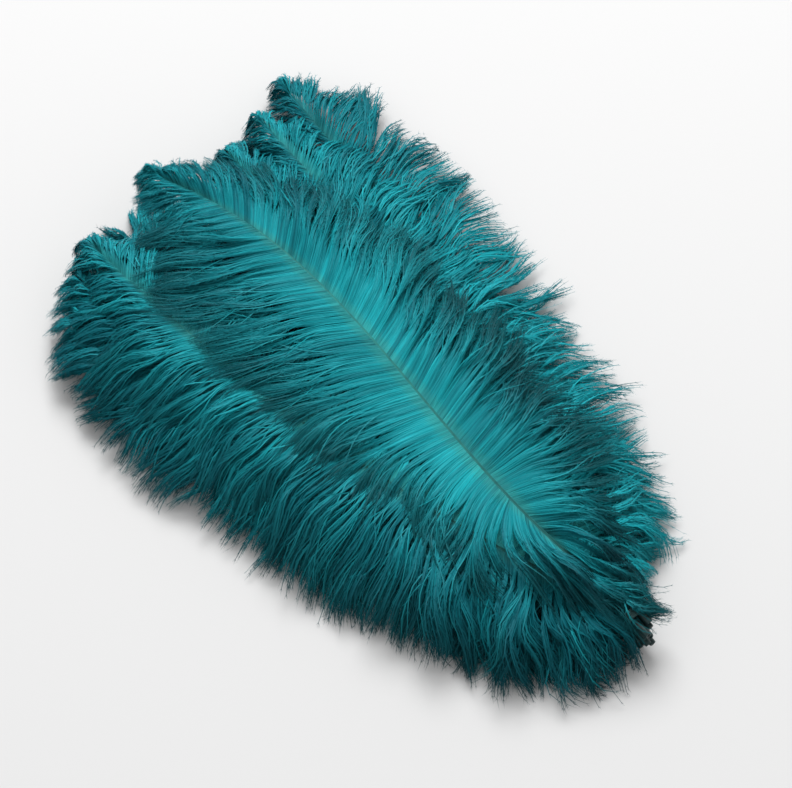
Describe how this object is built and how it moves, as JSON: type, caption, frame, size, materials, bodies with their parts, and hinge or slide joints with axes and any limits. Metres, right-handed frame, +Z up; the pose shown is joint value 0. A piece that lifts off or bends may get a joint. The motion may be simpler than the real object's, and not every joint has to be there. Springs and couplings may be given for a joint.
{
  "type": "bunch of ostrich plumes",
  "caption": "Fanned bunch of dyed ostrich plumes stacked one over another, their quills tied together at the butt, for costume and masquerade trimming.",
  "frame": {"origin": "middle of the underside of the bunch, on the surface it lies on", "axes": "+X from the tied quill butts towards the plumes' tips, +Z up, +Y the side to which the fan opens wider"},
  "size_m": [0.384, 0.2392, 0.0404],
  "materials": {
    "dyed_barbs": "soft, matt, teal-dyed barbs with a slight sheen",
    "dyed_shaft": "satin horn, dyed pale grey-green",
    "dyed_quill_butt": "satin horn, dyed nearly black-green",
    "binding_thread": "wound matt thread, very dark green"
  },
  "bodies": {
    "bound_quills": {"plume_01_calamus": "dyed_quill_butt", "plume_02_calamus": "dyed_quill_butt", "plume_03_calamus": "dyed_quill_butt", "plume_04_calamus": "dyed_quill_butt", "plume_05_calamus": "dyed_quill_butt", "plume_06_calamus": "dyed_quill_butt", "plume_07_calamus": "dyed_quill_butt", "plume_08_calamus": "dyed_quill_butt", "plume_09_calamus": "dyed_quill_butt", "plume_10_calamus": "dyed_quill_butt", "quill_band": "binding_thread", "band_knot": "binding_thread"},
    "plume_01": {"plume_01_rachis": "dyed_shaft", "plume_01_vane_left": "dyed_barbs", "plume_01_vane_right": "dyed_barbs"},
    "plume_02": {"plume_02_rachis": "dyed_shaft", "plume_02_vane_left": "dyed_barbs", "plume_02_vane_right": "dyed_barbs"},
    "plume_03": {"plume_03_rachis": "dyed_shaft", "plume_03_vane_left": "dyed_barbs", "plume_03_vane_right": "dyed_barbs"},
    "plume_04": {"plume_04_rachis": "dyed_shaft", "plume_04_vane_left": "dyed_barbs", "plume_04_vane_right": "dyed_barbs"},
    "plume_05": {"plume_05_rachis": "dyed_shaft", "plume_05_vane_left": "dyed_barbs", "plume_05_vane_right": "dyed_barbs"},
    "plume_06": {"plume_06_rachis": "dyed_shaft", "plume_06_vane_left": "dyed_barbs", "plume_06_vane_right": "dyed_barbs"},
    "plume_07": {"plume_07_rachis": "dyed_shaft", "plume_07_vane_left": "dyed_barbs", "plume_07_vane_right": "dyed_barbs"},
    "plume_08": {"plume_08_rachis": "dyed_shaft", "plume_08_vane_left": "dyed_barbs", "plume_08_vane_right": "dyed_barbs"},
    "plume_09": {"plume_09_rachis": "dyed_shaft", "plume_09_vane_left": "dyed_barbs", "plume_09_vane_right": "dyed_barbs"},
    "plume_10": {"plume_10_rachis": "dyed_shaft", "plume_10_vane_left": "dyed_barbs", "plume_10_vane_right": "dyed_barbs"}
  },
  "joints": [
    {"name": "plume_01_swing", "type": "hinge", "parent": "bound_quills", "child": "plume_01", "pos_m": [-0.16869, -0.01181, 0.0035], "axis": [0, 0, 1], "range_deg": [-8, 8]},
    {"name": "plume_02_swing", "type": "hinge", "parent": "bound_quills", "child": "plume_02", "pos_m": [-0.16869, -0.01621, 0.0057], "axis": [0, 0, 1], "range_deg": [-8, 8]},
    {"name": "plume_03_swing", "type": "hinge", "parent": "bound_quills", "child": "plume_03", "pos_m": [-0.16869, -0.01181, 0.0079], "axis": [0, 0, 1], "range_deg": [-8, 9]},
    {"name": "plume_04_swing", "type": "hinge", "parent": "bound_quills", "child": "plume_04", "pos_m": [-0.16869, -0.01621, 0.0101], "axis": [0, 0, 1], "range_deg": [-12, 10]},
    {"name": "plume_05_swing", "type": "hinge", "parent": "bound_quills", "child": "plume_05", "pos_m": [-0.16869, -0.01181, 0.0123], "axis": [0, 0, 1], "range_deg": [-10, 12]},
    {"name": "plume_06_swing", "type": "hinge", "parent": "bound_quills", "child": "plume_06", "pos_m": [-0.16869, -0.01621, 0.0145], "axis": [0, 0, 1], "range_deg": [-9, 8]},
    {"name": "plume_07_swing", "type": "hinge", "parent": "bound_quills", "child": "plume_07", "pos_m": [-0.16869, -0.01181, 0.0167], "axis": [0, 0, 1], "range_deg": [-8, 9]},
    {"name": "plume_08_swing", "type": "hinge", "parent": "bound_quills", "child": "plume_08", "pos_m": [-0.16869, -0.01621, 0.0189], "axis": [0, 0, 1], "range_deg": [-8, 8]},
    {"name": "plume_09_swing", "type": "hinge", "parent": "bound_quills", "child": "plume_09", "pos_m": [-0.16869, -0.01181, 0.0211], "axis": [0, 0, 1], "range_deg": [-8, 8]},
    {"name": "plume_10_swing", "type": "hinge", "parent": "bound_quills", "child": "plume_10", "pos_m": [-0.16869, -0.01621, 0.0233], "axis": [0, 0, 1], "range_deg": [-8, 8]}
  ]
}
